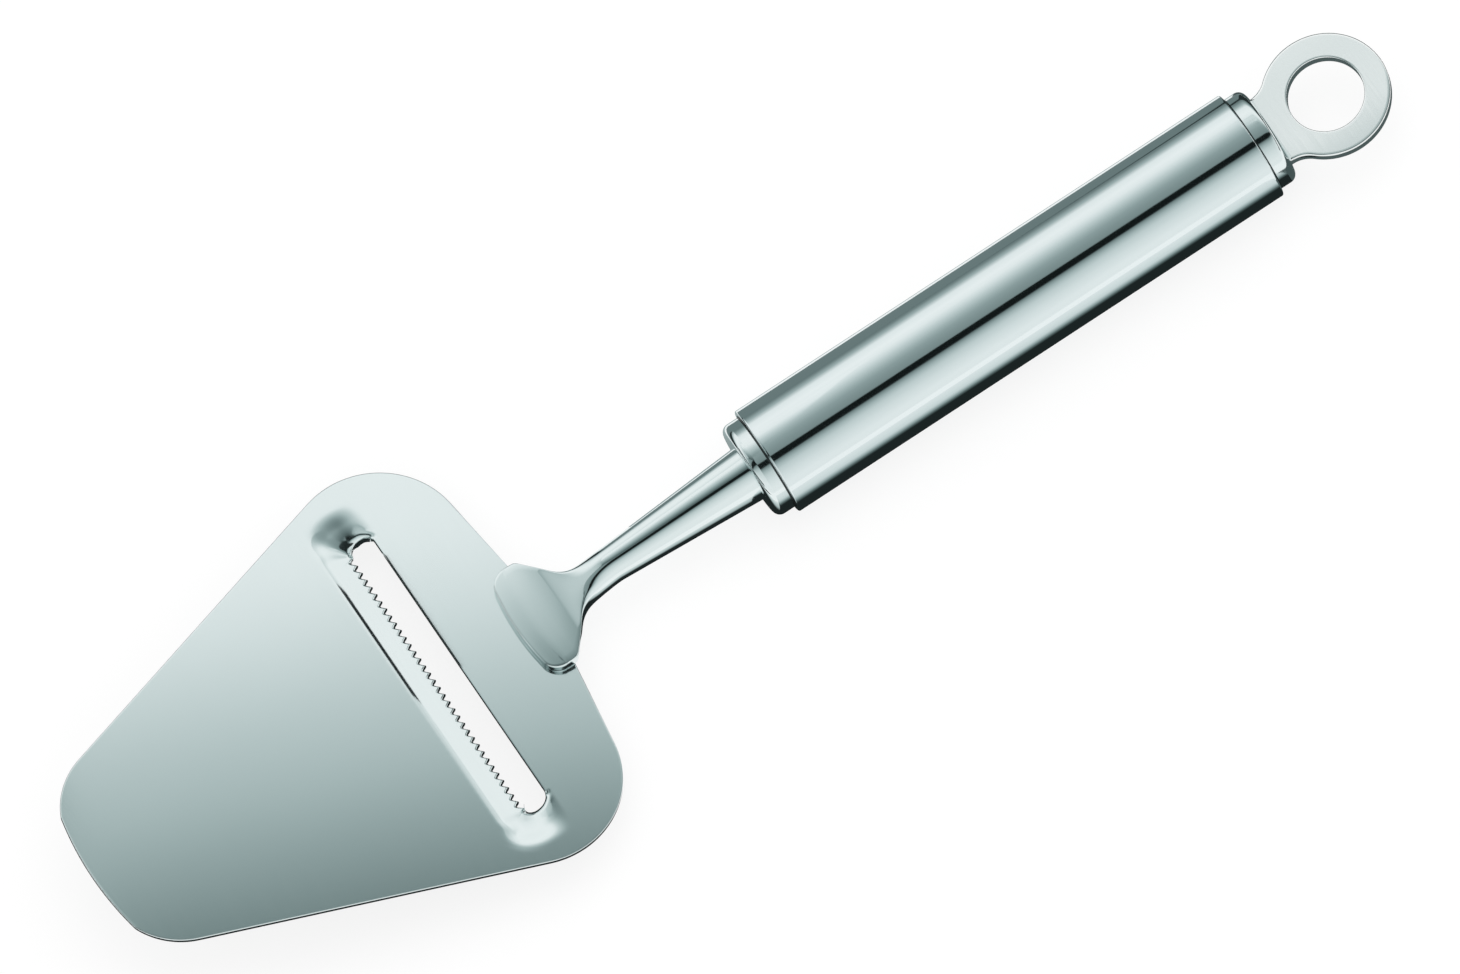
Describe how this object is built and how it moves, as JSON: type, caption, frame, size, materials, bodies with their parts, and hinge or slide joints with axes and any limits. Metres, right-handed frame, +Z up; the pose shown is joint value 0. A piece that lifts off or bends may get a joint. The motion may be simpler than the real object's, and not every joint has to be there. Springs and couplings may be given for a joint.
{
  "type": "cheese slicer",
  "caption": "Hand-held cheese slicer with a slotted spade blade, forged shank, round tube handle and flat hanging eye.",
  "frame": {"origin": "under the middle of the whole slicer, on the plane that the handle tube lies on", "axes": "+X along the handle towards the blade, +Y across the blade, +Z up, square to the flat of the hanging eye"},
  "size_m": [0.2574, 0.0798, 0.0204],
  "materials": {
    "blade_steel": "fine satin",
    "forged_steel": "polished",
    "cap_steel": "fine satin",
    "handle_steel": "fine satin, brushed round the tube",
    "weld_steel": "as welded"
  },
  "bodies": {
    "root": {"blade": "blade_steel", "shank": "forged_steel", "foot_welds": "weld_steel", "front_cap": "cap_steel", "shank_weld": "weld_steel", "front_seam": "weld_steel", "handle_tube": "handle_steel", "rear_seam": "weld_steel", "rear_cap": "cap_steel", "hanging_eye": "forged_steel", "eye_welds": "weld_steel"}
  },
  "joints": []
}
